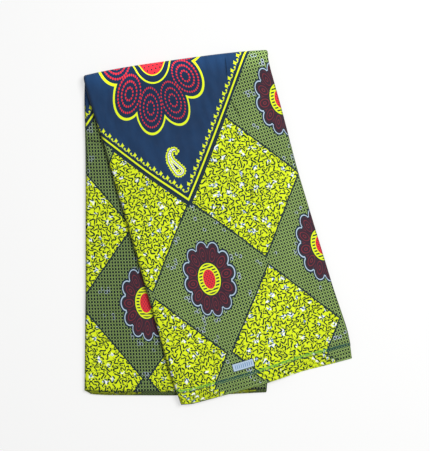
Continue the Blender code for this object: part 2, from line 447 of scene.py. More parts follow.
def leaf_ring(outside, inwards, columns, edge):
    """The ring of a leaf whose shown face has the radius outside, and which rounds over towards the middle of
    the pack: inwards is 1 where that is a smaller radius and -1 where it is a bigger one."""
    turns = np.linspace(math.pi / 2, 0, ROLL_STEPS)
    across = np.linspace(0, 1, columns)[1:-1]
    faces = []
    for thickness in (0, CLOTH_THICKNESS):
        left = rolled(0, turns, outside, thickness, inwards)
        right = rolled(1, turns[::-1], outside, thickness, inwards)
        flat = (across, ROLL + 0 * across, outside - inwards * thickness + 0 * across)
        faces.append([np.concatenate(parts) for parts in zip(left, flat, right)])
    shown, hidden = faces
    share, inset, radius = [np.concatenate([a, b[::-1]]) for a, b in zip(shown, hidden)]
    sides = (inset + edge[2], inset + edge[3])
    return Ring(share, *sides, edge[0], edge[1], radius, 0 * share, 0 * share, edge[0], edge[1])


def close_ends(ribbon, cloth):
    """The thin selvedge at each end of a leaf: a strip of faces between its two faces' last rows."""
    ends = []
    half = ribbon.shape[1] // 2
    for row in (0, -1):
        strip = np.stack([ribbon[row, :half], ribbon[row, half:][::-1]])
        strip_cloth = np.stack([cloth[row, :half], cloth[row, half:][::-1]])
        ends.append((strip, strip_cloth, False))
    return ends


def make_leaf(name, outside, inwards, edge, pitches):
    """One leaf as a thin closed shell."""
    columns = round(BAND_WIDTH / pitches[0])
    ribbon, cloth = carry(leaf_ring(outside, inwards, columns, edge), *pitches[1:])
    return mesh_piece(name, [(ribbon, cloth, True)] + close_ends(ribbon, cloth))


# %% Make the outer leaf and the inner leaf
FINE, COARSE = 0.0034, 0.008
OUTER_EDGE = (0.0000, 0.0045, 0.0000, 0.0000)
INNER_EDGE = (0.0230, 0.0000, 0.0008, 0.0006)
outer_leaf = make_leaf("outer_leaf_cloth", PACK_THICKNESS, 1, OUTER_EDGE, (FINE, COARSE, 24, FINE))
inner_leaf = make_leaf("inner_leaf_cloth", UNDER_GAP, -1, INNER_EDGE, (FINE, FINE, 10, COARSE))

# %% [markdown]
# ## The leaves between them
#
# Fourteen leaves lie between the outer and the inner leaf, and only their edges show. At the band's sides
# each two leaves share one rounded nose, and the pairs at the left lie one leaf off those at the right. At
# the front half's selvedges the leaves end in three tight groups, each further down than the last. Fourteen
# thin shells could be stacked here, but most of their faces would never be seen. One closed block looks the
# same: its outline dips into a slot between each leaf and the next.

# %% Say where each hidden leaf ends, from the outermost inwards
HIDDEN = LEAVES - 2
FRONT_PAST = (
    0.0080, 0.0083, 0.0079, 0.0085, 0.0144, 0.0147, 0.0143, 0.0149, 0.0212, 0.0217, 0.0213, 0.0226,
    0.0220, 0.0224,
)
FRONT_FAN = (
    -0.0006, -0.0002, -0.0007, 0.0000, 0.0006, 0.0010, 0.0005, 0.0011, 0.0016, 0.0019, 0.0015, 0.0022,
    0.0024, 0.0018,
)
BACK_PAST = (
    0.0048, 0.0054, 0.0058, 0.0064, 0.0062, 0.0060, 0.0054, 0.0056, 0.0044, 0.0040, 0.0036, 0.0030,
    0.0024, 0.0020,
)
SIDE_IN = (
    0.0003, 0.0006, 0.0012, 0.0008, 0.0015, 0.0006, 0.0010, 0.0014, 0.0005, 0.0009, 0.0013, 0.0008,
    0.0004, 0.0009,
)
SLIP = (
    0.0025, 0.0018, 0.0030, 0.0014, -0.0025, -0.0038, -0.0020, -0.0032, -0.0110, -0.0124, -0.0102,
    -0.0130, -0.0116, -0.0108,
)
NOSE_DEPTH = 0.0006
SLOT_DEPTH = 0.0030
LEAF_GAP_SHARE = 0.16
LIP_SHARE = 0.2
LEAF_AIR = 0.00022
BLOCK_TOP = PACK_THICKNESS - CLOTH_THICKNESS - LEAF_AIR
BLOCK_BOTTOM = UNDER_GAP + CLOTH_THICKNESS + LEAF_AIR
BLOCK_PITCH = (BLOCK_TOP - BLOCK_BOTTOM) / HIDDEN


def loops_of_leaves():
    """The loops round the hidden leaves from the outermost inwards, as (leaf, radius, front end, back end).
    Each leaf has a loop at the bottom of the slot above it, two at its end, and one at the bottom of the slot
    below it. A slot's bottom lies inside the shorter of the two leaves beside it."""
    loops = []
    for leaf in range(HIDDEN):
        top = BLOCK_TOP - leaf * BLOCK_PITCH
        bottom = top - BLOCK_PITCH * (1 - LEAF_GAP_SHARE)
        above, below = max(leaf - 1, 0), min(leaf + 1, HIDDEN - 1)
        slots = [[min(past[leaf], past[beside]) - SLOT_DEPTH for past in (FRONT_PAST, BACK_PAST)]
                 for beside in (above, below)]
        end = [FRONT_PAST[leaf], BACK_PAST[leaf]]
        lip = LIP_SHARE * (top - bottom)
        if leaf:
            loops.append((leaf, top, *slots[0]))
        loops.append((leaf, top - lip * (leaf > 0), *end))
        loops.append((leaf, bottom + lip * (leaf < HIDDEN - 1), *end))
        if leaf < HIDDEN - 1:
            loops.append((leaf, bottom, *slots[1]))
    return loops


def nose_in(radius, side):
    """How far a loop lies inside its nose's tip: half a circle over each pair of leaves, where side 0 pairs
    the first leaf with the second, and side 1 the second with the third. Near the pack's faces all lie
    further in, by a quarter circle of the roll's radius."""
    place = (BLOCK_TOP - radius) / BLOCK_PITCH + side
    off_middle = np.abs(place - 2 * np.floor(place / 2) - 1)
    above_face = ROLL - np.minimum(np.minimum(PACK_THICKNESS - radius, radius), ROLL)
    rounded = ROLL - np.sqrt(ROLL**2 - above_face**2)
    return rounded + NOSE_DEPTH * (1 - np.sqrt(1 - np.minimum(off_middle, 1) ** 2))


def make_hidden_leaves(name, columns, pitches):
    """The hidden leaves as one closed block: its ribbon, and at each end a grid of loops by columns."""
    leaf, radius, front_past, back_past = [np.array(values) for values in zip(*loops_of_leaves())]
    own = [np.array(values)[leaf] for values in (SLIP, FRONT_PAST, FRONT_PAST, BACK_PAST)]

    def sides_in(side):
        in_pair = np.minimum((leaf + side) // 2 * 2, HIDDEN - 1) - side * (leaf > 0)
        return np.array(SIDE_IN)[in_pair] + nose_in(radius, side)

    def grid(values):
        return np.broadcast_to(values[:, None], (len(leaf), columns))

    across = np.broadcast_to(np.linspace(0, 1, columns), (len(leaf), columns))
    by_loop = (sides_in(0), sides_in(1), front_past, back_past, radius, *own)
    block = Ring(across, *[grid(values) for values in by_loop])
    fanned = grid(np.array(FRONT_FAN)[leaf]) * (across - 0.5)
    block = block._replace(front_past=block.front_past + fanned, front_end=block.front_end + fanned)

    def round_about(table):
        return np.concatenate([table[0], table[1:-1, -1], table[-1, ::-1], table[-2:0:-1, 0]])

    ribbon, cloth = carry(Ring(*[round_about(table) for table in block]), *pitches)
    flat = Ring(*[table.ravel() for table in block])
    grids = [(ribbon, cloth, True)]
    for front in (False, True):
        end = [table.reshape(len(leaf), columns, -1) for table in half_rows(flat, np.array([1.0]), front)]
        grids.append((*end, False))
    return mesh_piece(name, grids)


hidden_leaves = make_hidden_leaves("hidden_leaves_cloth", 66, (0.010, 14, 0.007))

# %% [markdown]
# ## Sums on sockets
#
# A painted picture could hold the print, but it would have to be very large to stay sharp. So shader nodes
# draw it, and a drawing is many small sums. A small class wraps a node's output socket, so that a sum can be
# written as Python writes it, and each operator adds one Math node. Every other node comes from one method,
# which takes its kind, its settings and what goes into its sockets.


# %% Wrap a socket
class Value:
    """A number or colour that changes over the cloth: an output socket of the material that is being made."""

    tree = None

    def __init__(self, socket):
        self.socket = socket

    @staticmethod
    def node(kind, settings, inputs):
        """A new node of this kind: its settings first, a ramp's stops among them, and then its sockets."""
        made = Value.tree.nodes.new(kind)
        for name, setting in settings.items():
            setattr(made, name, setting)
        for name, value in inputs.items():
            if isinstance(value, Value):
                Value.tree.links.new(value.socket, made.inputs[name])
            else:
                made.inputs[name].default_value = value
        return made

    @staticmethod
    def math(operation, *terms, clamp=False):
        """The Math node of this operation on these terms."""
        settings = {"operation": operation, "use_clamp": clamp}
        return Value(Value.node("ShaderNodeMath", settings, dict(enumerate(terms))).outputs[0])

    def __add__(self, other):
        return Value.math("ADD", self, other)

    __radd__ = __add__

    def __sub__(self, other):
        return Value.math("SUBTRACT", self, other)

    def __rsub__(self, other):
        return Value.math("SUBTRACT", other, self)

    def __mul__(self, other):
        return Value.math("MULTIPLY", self, other)

    __rmul__ = __mul__

    def __truediv__(self, other):
        return Value.math("DIVIDE", self, other)

    def __mod__(self, other):
        return Value.math("FLOORED_MODULO", self, other)

    def __abs__(self):
        return Value.math("ABSOLUTE", self)

    def __neg__(self):
        return self * -1


# %% Helpers for drawing with numbers
MM = 1000
EDGE_SOFTNESS = 0.5
Coat = namedtuple("Coat", "dye depth")


def whole(value):
    return Value.math("FLOOR", value)


def wave(value):
    return Value.math("SINE", value)


def larger(one, other):
    return Value.math("MAXIMUM", one, other)


def smaller(one, other):
    return Value.math("MINIMUM", one, other)


def length(x, y):
    """The square root of x squared plus y squared."""
    return Value.math("SQRT", Value.math("MULTIPLY_ADD", x, x, y * y))


def below(value, limit, softness=EDGE_SOFTNESS):
    """1 where the value is below the limit and 0 above it, with an edge as wide as softness."""
    return Value.math("MULTIPLY_ADD", value - limit, -1 / softness, 0.5, clamp=True)


def above(value, limit, softness=EDGE_SOFTNESS):
    return Value.math("MULTIPLY_ADD", value - limit, 1 / softness, 0.5, clamp=True)


def line_at(value, middle, width, softness=EDGE_SOFTNESS):
    """1 on a line of this width where the value passes the middle."""
    return below(abs(value - middle), width / 2, softness)


def paint(under, over, mask):
    """The colour under, with the colour over painted on it where the mask is 1."""
    mixed = Value.node("ShaderNodeMix", {"data_type": "RGBA"}, {0: mask, 6: under, 7: over})
    return Value(mixed.outputs[2])


def coats(colour, inside, table):
    """The colour with each coat of a table painted on in turn, where inside is above the coat's depth."""
    for coat in table:
        colour = paint(colour, coat.dye, above(inside, coat.depth))
    return colour


def pair(x, y):
    """The two numbers as one vector."""
    return Value(Value.node("ShaderNodeCombineXYZ", {}, {0: x, 1: y}).outputs[0])


def parts_of(vector):
    """The first three numbers of a vector or colour."""
    split = Value.node("ShaderNodeSeparateXYZ", {}, {0: vector})
    return [Value(socket) for socket in split.outputs]


def millimetres(attribute):
    """A distance that the mesh keeps at each of its points."""
    node = Value.node("ShaderNodeAttribute", {"attribute_name": attribute}, {})
    return Value(node.outputs["Fac"]) * MM


def noise(x, y, size, detail=2.0):
    """Cloudy noise from 0 to 1, its clouds about this many millimetres across."""
    inputs = {"Vector": pair(x, y), "Scale": 1 / size, "Detail": detail}
    return Value(Value.node("ShaderNodeTexNoise", {"noise_dimensions": "2D"}, inputs).outputs["Fac"])


def new_material(name, numbers):
    """A material and its shader, whose sockets hold these numbers all over."""
    material = bpy.data.materials.new(name)
    material.use_nodes = True
    shader = material.node_tree.nodes["Principled BSDF"]
    for socket, number in numbers.items():
        shader.inputs[socket].default_value = number
    return material, shader


# %% [markdown]
# ## The dyes
#
# Wax print has few dyes: indigo, a yellow, a green from the two together, a red, and the white of the cotton
# where the wax kept all of them off. Each could be tuned by eye under the lamp, but here one number corrects
# them all: the colours are written as they are seen, from 0 to 255, and divided by the studio's light.

# %% Mix the dyes
STUDIO_LIGHT = 1.34


def dye(red, green, blue):
    """Each part of the seen colour as a share of 255, raised by the screen's curve, divided by the light."""
    seen = [((part / 255 + 0.055) / 1.055) ** 2.4 / STUDIO_LIGHT for part in (red, green, blue)]
    return (*seen, 1)


YELLOW = dye(240, 258, 32)
DEEP_YELLOW = dye(224, 246, 10)
STROKE = dye(12, 50, 28)
STROKE_ON_WHITE = dye(104, 146, 196)
COTTON_WHITE = dye(264, 266, 272)
NET = dye(172, 205, 112)
NET_SHADE = dye(24, 44, 40)
DOT = dye(8, 24, 30)
PALE_BLUE = dye(190, 212, 234)
PALE_RING = dye(216, 234, 252)
LABEL_BLUE = dye(116, 150, 190)
OUTLINE = dye(18, 44, 54)
INDIGO = dye(24, 62, 104)
INDIGO_DEEP = dye(13, 43, 77)
BORDER_DARK = dye(16, 42, 62)
RED = dye(236, 48, 62)
MAROON = dye(58, 36, 50)
VEIN = dye(132, 46, 56)
LEAF_GREEN = dye(118, 188, 66)
TEAL = dye(28, 78, 74)
print("the yellow reflects", [round(part, 2) for part in YELLOW[:3]])

# %% [markdown]
# ## The print
#
# The print repeats on a lattice of diamonds that stand on their points. Every second row is yellow and full
# of little dark squiggles, and the rest are a green net with a flower in the middle. Large indigo diamonds
# with a yellow border lie over four rows of them. The diamonds could be cut as shapes, but a few remainders
# tell at every place which diamond holds it. All lengths from here on are in millimetres.

# %% Set out the lattice
HALF_WIDE = 101.7
HALF_HIGH = 135.4
ACROSS_EDGE = 1 / math.hypot(1 / HALF_WIDE, 1 / HALF_HIGH)
EDGE_LENGTH = math.hypot(HALF_WIDE, HALF_HIGH)
YELLOW_INSET = 4.8
OUTLINE_WIDTH = 2.6
BLOCK_ROWS = 2
BLOCK_REACH = 2.4


def to_line(one, other):
    """How deep a place lies inside the nearest lattice line of one kind. Where that line is the indigo
    diamond's side, its yellow neighbours reach nearer to it, so they count as lying deeper."""
    beside_block = below(abs(abs(one) - 2), 1, 0.01) * below(abs(other), 2, 0.01)
    return Value.math("MULTIPLY_ADD", 1 - abs(one % 2 - 1), ACROSS_EDGE, beside_block * BLOCK_REACH)


def diamond(x, y):
    """The diamond that holds a place: the place from its middle, how deep it lies inside the edge, and 1 in a
    yellow diamond. In the sum and difference of x and y, each as a share of half a diamond, the lattice is
    one of squares."""
    across, along = x / HALF_WIDE, y / HALF_HIGH
    rising, falling = across + along, across - along
    first, second = whole(rising / 2), whole(falling / 2)
    to_edge = smaller(to_line(rising, falling), to_line(falling, rising))
    beside = (across - (first + second + 1)) * HALF_WIDE
    beneath = (along - (first - second)) * HALF_HIGH
    return beside, beneath, to_edge, 1 - (first - second) % 2


# %% [markdown]
# ## Squiggles
#
# The yellow diamonds are crowded with short curved strokes in every direction, and bare cotton shows in small
# white flecks. The strokes could be curves, but there are more than a thousand on each leaf. Instead a
# Voronoi texture gives each small cell its own middle and random numbers, which turn and bend one stroke. A
# second layer has its cells half a step off the first's, so that its strokes fall between them.

# %% Draw strokes and flecks
STROKE_SPACING = 11.6
STROKE_SCATTER = 0.35
STROKE_REACH = 5.9
STROKE_WIDTH = 2.6
STROKE_BEND = 3.0
STROKE_WAVES = (0.42, 0.30)
STROKE_ENDS = (0.8, 0.3)
STROKE_EDGE = 0.4
STROKE_CLEAR = 1.1
SECOND_RIGHT = 90.5 * STROKE_SPACING
SECOND_DOWN = 40.5 * STROKE_SPACING
YELLOW_CLOUD = 24
WOBBLE = 9
WOBBLE_SIZE = 42
FLECK_SPACING = 23
FLECK_GRAIN = 3.6
FLECK_LEVEL = 0.31
FLECK_FALL = (0.055, 0.045)


def voronoi(x, y, spacing, randomness, feature="F1"):
    settings = {"voronoi_dimensions": "2D", "feature": feature}
    inputs = {"Vector": pair(x, y), "Scale": 1 / spacing, "Randomness": randomness}
    return Value.node("ShaderNodeTexVoronoi", settings, inputs).outputs


def cells(x, y, spacing, randomness):
    """A Voronoi texture's cells: the place from the nearest cell's middle, and three random numbers of it."""
    outputs = voronoi(x, y, spacing, randomness)
    middle = parts_of(Value(outputs["Position"]))
    return x - middle[0], y - middle[1], parts_of(Value(outputs["Color"]))


def off_stroke(x, y):
    """How far outside its cell's stroke a place is, and less than 0 inside it. The stroke is a sine curve
    about a line through the cell's middle, turned at random. The distance aside from the curve is divided by
    the square root of one plus its slope squared, so that the stroke is as wide where it is steep."""
    beside, beneath, chance = cells(x, y, STROKE_SPACING, STROKE_SCATTER)
    turn = chance[0] * math.tau
    along, aside = turn_axes(beside, beneath, wave(turn + math.pi / 2), wave(turn))
    rate = STROKE_WAVES[0] + STROKE_WAVES[1] * chance[1]
    phase = along * rate + chance[2] * math.tau
    slope = wave(phase + math.pi / 2) * rate * STROKE_BEND
    off_curve = abs(aside - wave(phase) * STROKE_BEND) / length(1, slope) - STROKE_WIDTH / 2
    past_end = abs(along) - STROKE_REACH * (STROKE_ENDS[0] + STROKE_ENDS[1] * chance[1])
    to_edge = Value(voronoi(x, y, STROKE_SPACING, STROKE_SCATTER, "DISTANCE_TO_EDGE")["Distance"])
    return larger(larger(off_curve, past_end), STROKE_EDGE - to_edge * STROKE_SPACING)


def yellow_ground(x, y):
    """Yellow cotton with white flecks under two layers of strokes, the second of which stays clear of the
    first. A slow wobble of the place hides the rows that the cells stand in."""
    colour = paint(YELLOW, DEEP_YELLOW, noise(x, y, YELLOW_CLOUD))
    beside, beneath, chance = cells(x, y, FLECK_SPACING, 1.0)
    fall = length(beside, beneath) * (FLECK_FALL[0] + FLECK_FALL[1] * chance[0])
    fleck = above(noise(x, y, FLECK_GRAIN, 1.0) - fall, FLECK_LEVEL, 0.06)
    colour = paint(colour, COTTON_WHITE, fleck)
    x, y = x + noise(x, y, WOBBLE_SIZE) * WOBBLE, y + noise(x + 500, y, WOBBLE_SIZE) * WOBBLE
    first = off_stroke(x, y)
    second = larger(off_stroke(x + SECOND_RIGHT, y + SECOND_DOWN), STROKE_CLEAR - first)
    return paint(colour, paint(STROKE, STROKE_ON_WHITE, fleck), below(smaller(first, second), 0, 0.4))


# %% [markdown]
# ## The green net
#
# Between the yellow diamonds the cloth is a net of small light rings, each with a dark dot in it, and dark in
# the corner that four of them leave. Here and there bits of two or three rings were left pale. Another
# Voronoi texture could draw it, but not in such even rows. So the remainders of a place give each ring
# small coordinates of its own.

# %% Draw the net
NET_COLUMN = HALF_WIDE / 20
NET_ROW = HALF_HIGH / 23
NET_OVAL = 0.76
NET_RING = 2.5
PALE_SQUARES = 0.12
PALE_CELLS = 0.55
PALE_GRAIN = 2.8
PALE_LEVEL = (0.44, 0.14)


def lot(x, y):
    """A random number for each square of side 1, the same all over it."""
    inputs = {"Vector": pair(whole(x), whole(y))}
    return Value(Value.node("ShaderNodeTexWhiteNoise", {"noise_dimensions": "2D"}, inputs).outputs["Value"])


def green_net(x, y, dot):
    """A lattice of upright oval dots of this radius with a light ring round each. Some cells of a few squares
    of four have pale bits, where the noise is high."""
    column, row = x / NET_COLUMN, y / NET_ROW
    beside = (column % 1 - 0.5) * NET_COLUMN
    beneath = (row % 1 - 0.5) * NET_ROW
    spread = length(beside, beneath * NET_OVAL)
    in_lot = below(lot(column / 2, row / 2), PALE_SQUARES, 0.001) * above(lot(column, row), PALE_CELLS, 0.001)
    pale = in_lot * above(noise(x, y, PALE_GRAIN, 0.0), *PALE_LEVEL)
    colour = paint(NET_SHADE, paint(NET, PALE_RING, pale), below(spread, NET_RING, 0.8))
    return paint(colour, DOT, below(spread, dot))


# %% [markdown]
# ## Flowers
#
# In each green diamond is a flower in red, maroon and pale blue, and in each indigo diamond a rosette of red
# dots inside a yellow line. Each petal could be placed by hand, but they are all alike. So the angle about
# the middle is folded, one petal is drawn, and all are there.

# %% Fold a flower into one petal
Lobe = namedtuple("Lobe", "middle reach half_width")
SPOT_ROWS = 0.8


def petal(x, y, wide, high, count):
    """The place in one petal: first on an oval drawn as a circle of radius 1, out from the middle and aside,
    then the distance from the middle, and how many millimetres a unit is here."""
    right, down = x / wide, y / high
    out = length(right, down)
    share = math.tau / count
    folded = (Value.math("ARCTAN2", down, right) + share / 2) % share - share / 2
    return out * wave(folded + math.pi / 2), out * wave(folded), out, length(x, y) / larger(out, 0.001)


def in_lobe(out, aside, lobe):
    """The place from a lobe's middle, forward and aside, each as a share of the lobe's reach that way."""
    return (out - lobe.middle) / lobe.reach, aside / lobe.half_width


def spots(x, y, spacing, radius):
    """Round spots on a staggered lattice, whose rows are closer than its columns."""
    row_pitch = spacing * SPOT_ROWS
    row = y / row_pitch
    shifted = x / spacing + 0.5 * (whole(row) % 2)
    return below(length((shifted % 1 - 0.5) * spacing, (row % 1 - 0.5) * row_pitch), radius, 0.4)


# %% Draw the flower of the green diamonds
FLOWER = (44, 68, 12)
FLOWER_LOBE = Lobe(0.78, 0.22, 0.21)
FLOWER_SLOPE = 0.2
FLOWER_BODY = 0.84
FLOWER_COATS = (Coat(OUTLINE, -2.2), Coat(PALE_BLUE, 0), Coat(OUTLINE, 1.6), Coat(MAROON, 3.0))
VEIN_LOBE = Lobe(0.66, 0.26, 0.15)
VEIN_STEP = 0.46
VEIN_HALF_WIDTH = 0.5 / (0.18 * VEIN_STEP)
VEINS_END = 1.15 / VEIN_STEP
VEIN_DEPTH = 3.8
RING_RADIUS = 0.42
RING_COATS = (Coat(OUTLINE, -2.0), Coat(YELLOW, 0))
BAR_PITCH = 5.6
BAR_WIDTH = 2.6
BAR_DEPTH = 2.2
HEART_SIZE = 15
HEART_SHAPE = (1.5, 0.86)
HEART_COATS = (Coat(YELLOW, -1.8), Coat(RED, 0))
HEART_SPOTS = (4.6, 0.95)


def flower(colour, x, y):
    """A dark edge, a pale line, maroon petals with red veins, a yellow ring with bars and a red heart."""
    out, aside, radius, scale = petal(x, y, *FLOWER)
    lobe = length(*in_lobe(out, aside, FLOWER_LOBE))
    inside = larger((1 - lobe) * FLOWER_SLOPE, FLOWER_BODY - radius) * scale
    colour = coats(colour, inside, FLOWER_COATS)
    loop = length(*in_lobe(out, aside, VEIN_LOBE)) / VEIN_STEP
    veins = below(abs(loop % 1 - 0.5) * scale, VEIN_HALF_WIDTH, 3) * below(loop, VEINS_END, 0.1)
    colour = paint(colour, VEIN, veins * above(inside, VEIN_DEPTH))
    ring = (RING_RADIUS - radius) * scale
    colour = coats(colour, ring, RING_COATS)
    colour = paint(colour, OUTLINE, line_at(y % BAR_PITCH, BAR_PITCH / 2, BAR_WIDTH) * above(ring, BAR_DEPTH))
    heart = HEART_SIZE - length(x * HEART_SHAPE[0], y * HEART_SHAPE[1])
    return paint(coats(colour, heart, HEART_COATS), OUTLINE, spots(x, y, *HEART_SPOTS) * above(heart, 1.0))


# %% Draw the rosette of the indigo diamonds
ROSETTE = (92, 134, 10)
ROSETTE_LOBE = Lobe(0.68, 0.32, 0.245)
ROSETTE_SLOPE = 0.27
ROSETTE_BODY = 0.60
ROSETTE_COATS = (Coat(YELLOW, -3.6), Coat(INDIGO_DEEP, 0))
DOT_RING_STEP = 0.26
DOT_RINGS = 3
DOTS_A_RING = 11
DOT_RADIUS = 1.45
MEAN_REACH = 0.26
DOT_PITCH = math.tau * DOT_RING_STEP * MEAN_REACH / DOTS_A_RING
DOTS_START = 0.38
EYE_RADIUS = 0.36
EYE_COATS = (Coat(YELLOW, -2.6), Coat(INDIGO_DEEP, 0))
EYE_HEART = 0.27
EYE_HEART_COATS = (Coat(YELLOW, -1.6), Coat(RED, 0))
EYE_SPOTS = (7.6, 1.5)


def rosette(colour, x, y):
    """Petals with nested rings of red dots, inside a scalloped yellow line, about a red heart."""
    out, aside, radius, scale = petal(x, y, *ROSETTE)
    forward, sideways = in_lobe(out, aside, ROSETTE_LOBE)
    lobe = length(forward, sideways)
    inside = larger((1 - lobe) * ROSETTE_SLOPE, ROSETTE_BODY - radius) * scale
    colour = coats(colour, inside, ROSETTE_COATS)
    ring = whole(lobe / DOT_RING_STEP + 0.5)
    off_ring = (lobe - ring * DOT_RING_STEP) * ROSETTE_SLOPE * scale
    turned = Value.math("ARCTAN2", sideways, forward) / math.tau * ring * DOTS_A_RING
    off_dot = (turned % 1 - 0.5) * DOT_PITCH * scale
    dots = below(length(off_ring, off_dot), DOT_RADIUS) * below(ring, DOT_RINGS + 0.5, 0.1)
    colour = paint(colour, RED, dots * above(inside, 1.0) * above(radius, DOTS_START, 0.01))
    colour = coats(colour, (EYE_RADIUS - radius) * scale, EYE_COATS)
    heart = (EYE_HEART - radius) * scale
    return paint(coats(colour, heart, EYE_HEART_COATS), OUTLINE, spots(x, y, *EYE_SPOTS) * above(heart, 2.0))


# %% [markdown]
# ## The indigo diamond
#
# Its border is a dark band, a yellow line, a second dark band and a chain of small stars and hooks. In its
# corners is a paisley, the curled drop of many old cloths. The formula of a spiral could draw it, but a
# string of round-ended strips, which grow fatter from the curl to the body, is easier to bend into shape.

# %% Draw a paisley
Joint = namedtuple("Joint", "across down half_width")
PAISLEY = (
    Joint(1, 177, 2.0), Joint(3, 173.5, 2.8), Joint(-1, 168, 4.0), Joint(-7, 169.5, 5.0),
    Joint(-11, 176, 5.6), Joint(-10.5, 187, 7.4), Joint(-6.5, 198, 9.0), Joint(-2, 208.5, 10.3),
)
BEAD_PITCH = 4.5
BEAD_HEIGHT = 0.9
EDGE_DEPTH = -0.4
DARK_LINE = (2.5, 1.1)
WHITE_DEPTH = 3.1
DASHES = (4.7, 0.9)
DASH_START = -0.4
PAISLEY_COATS = (Coat(YELLOW, 5.0), Coat(COTTON_WHITE, 7.0), Coat(INDIGO_DEEP, 7.6))
SEED_EYE = (-3.5, 207)
SEED_COATS = (Coat(YELLOW, -2.8), Coat(INDIGO_DEEP, -1.0))


def inside_strip(x, y, start, end):
    """How deep a place lies in the strip between two joints: its half-width there, less the distance to the
    nearest point of the line between the joints. The second number is that point's share of the way."""
    wide, high = end.across - start.across, end.down - start.down
    from_start, beneath = x - start.across, y - start.down
    reach = wide**2 + high**2
    share = Value.math("MULTIPLY_ADD", from_start, wide / reach, beneath * (high / reach), clamp=True)
    half_width = start.half_width + share * (end.half_width - start.half_width)
    return half_width - length(from_start - share * wide, beneath - share * high), share


def paisley(colour, x, y):
    """A yellow edge of beads, a dark line, a white one with dashes, and a yellow heart with a dark seed. The
    beads are a sine of the run along the strips, which goes on round the fat end as an arc."""
    inside, run, done = -99.0, 0, 0
    for start, end in zip(PAISLEY, PAISLEY[1:]):
        step = math.hypot(end.across - start.across, end.down - start.down)
        depth, share = inside_strip(x, y, start, end)
        run = run + above(depth - inside, 0, 0.01) * (share * step + done - run)
        inside = larger(inside, depth)
        done += step
    forward, aside = (end.across - start.across) / step, (end.down - start.down) / step
    ahead, beside = turn_axes(x - end.across, y - end.down, forward, aside)
    off_side = Value.math("ARCTAN2", ahead, abs(beside))
    beads = wave((run + larger(off_side, 0) * end.half_width) * (math.tau / BEAD_PITCH))
    colour = paint(colour, YELLOW, above(inside, beads * BEAD_HEIGHT + EDGE_DEPTH))
    colour = paint(colour, INDIGO_DEEP, line_at(inside, *DARK_LINE))
    colour = paint(colour, COTTON_WHITE, above(inside, WHITE_DEPTH))
    colour = paint(colour, INDIGO_DEEP, line_at(inside, *DASHES) * above(beads, DASH_START))
    colour = coats(colour, inside, PAISLEY_COATS)
    return coats(colour, -length(x - SEED_EYE[0], y - SEED_EYE[1]), SEED_COATS)


# %% Draw the indigo diamond
LINE_DEPTH = 5.6
LINE_WIDTH = 2.9
STAR_DEPTH = 15.9
STAR_PLACE = 2.3
STAR_TURN = math.radians(38)
STAR_SIZE = (3.5, 5.6)
STAR_HOLLOW = 0.72
HOOK_PLACE = -2.0
HOOK_RADIUS = 3.9
HOOK_WIDTH = 1.2
KNOB_PLACE = -5.1
KNOB_DEPTH = -2.2
KNOB_RADIUS = 1.7
CHAIN_STEP = 14.1
CHAIN_START = 8.2
BAND_DEPTH = 10.5
INDIGO_STREAK = 26
STREAK_STRETCH = (1.6, 0.5)
STREAK_STRENGTH = 1.2


def chain(x, y, depth):
    """Upright four-pointed stars along the border, each with a thin hook and its knob before it."""
    along = (abs(y) * HALF_HIGH - abs(x) * HALF_WIDE) / EDGE_LENGTH
    place = (along + CHAIN_START) % CHAIN_STEP - CHAIN_STEP / 2
    aside, beside = depth - STAR_DEPTH, place - STAR_PLACE
    in_star = turn_axes(beside, aside, math.cos(STAR_TURN), math.sin(STAR_TURN))
    powers = [Value.math("POWER", abs(part) / size, STAR_HOLLOW) for part, size in zip(in_star, STAR_SIZE)]
    hook = line_at(length(place - HOOK_PLACE, aside), HOOK_RADIUS, HOOK_WIDTH) * below(aside, -HOOK_WIDTH)
    knob = below(length(place - KNOB_PLACE, aside - KNOB_DEPTH), KNOB_RADIUS)
    return larger(larger(below(powers[0] + powers[1], 1.0, 0.2), hook), knob)


def indigo_diamond(colour, x, y, gap):
    """Lays the indigo diamond over the lattice. Where gap is 1, between a yellow diamond and its outline's
    outer edge, the border reaches out to the outline."""
    depth = (BLOCK_ROWS - abs(x) / HALF_WIDE - abs(y) / HALF_HIGH) * ACROSS_EDGE
    streaks = noise(x * STREAK_STRETCH[0], y * STREAK_STRETCH[1], INDIGO_STREAK, 3.0)
    field = paint(INDIGO_DEEP, INDIGO, Value.math("MULTIPLY_ADD", streaks, STREAK_STRENGTH, 0.0, clamp=True))
    field = paisley(rosette(field, x, y), x, abs(y))
    field = paint(field, BORDER_DARK, below(depth, BAND_DEPTH, 3))
    field = paint(field, YELLOW, larger(line_at(depth, LINE_DEPTH, LINE_WIDTH), chain(x, y, depth)))
    colour = paint(colour, BORDER_DARK, above(depth, -YELLOW_INSET) * gap)
    return paint(colour, field, above(depth, 0))
